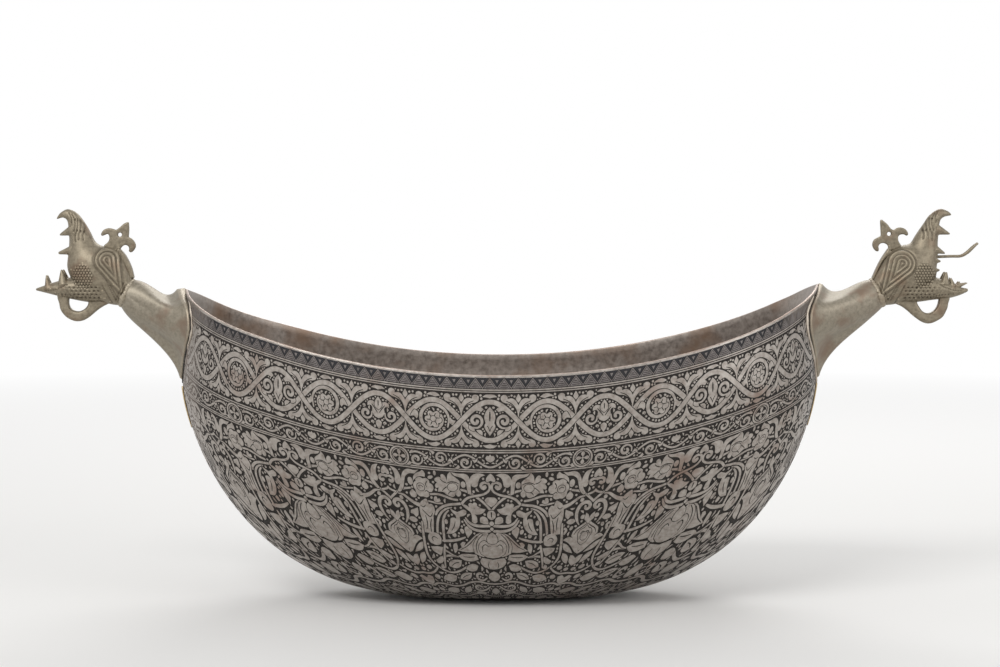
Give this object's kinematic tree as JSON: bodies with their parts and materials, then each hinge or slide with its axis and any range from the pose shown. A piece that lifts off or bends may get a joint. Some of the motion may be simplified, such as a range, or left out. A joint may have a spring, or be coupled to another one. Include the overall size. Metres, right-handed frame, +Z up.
{
  "type": "kashkul begging bowl",
  "caption": "Boat-shaped metal bowl whose rim sweeps up to cast dragon-head handles with chain loops under the jaws; it carries food or drink.",
  "frame": {"origin": "centre of the flat oval under the bowl", "axes": "+X along the bowl to the end whose head keeps its tongue, +Y across the bowl, +Z up"},
  "size_m": [0.6115, 0.2096, 0.2525],
  "materials": {
    "tinned_copper": "wiped tin over hammered copper, engraved, the ground blackened",
    "patinated_bronze": "cast, pale grey-green patina",
    "cast_bronze": "cast and chased, worn brown patina",
    "rubbed_brass": "rubbed bright at the edges"
  },
  "bodies": {
    "root": {"bowl_body": "tinned_copper", "neck_right": "patinated_bronze", "neck_left": "patinated_bronze", "head_right": "cast_bronze", "head_left": "cast_bronze", "crest_right": "cast_bronze", "crest_left": "cast_bronze", "chain_loop_right": "cast_bronze", "chain_loop_left": "cast_bronze", "prow_strip_right": "rubbed_brass", "prow_strip_left": "rubbed_brass", "tongue_right": "cast_bronze"}
  },
  "joints": []
}
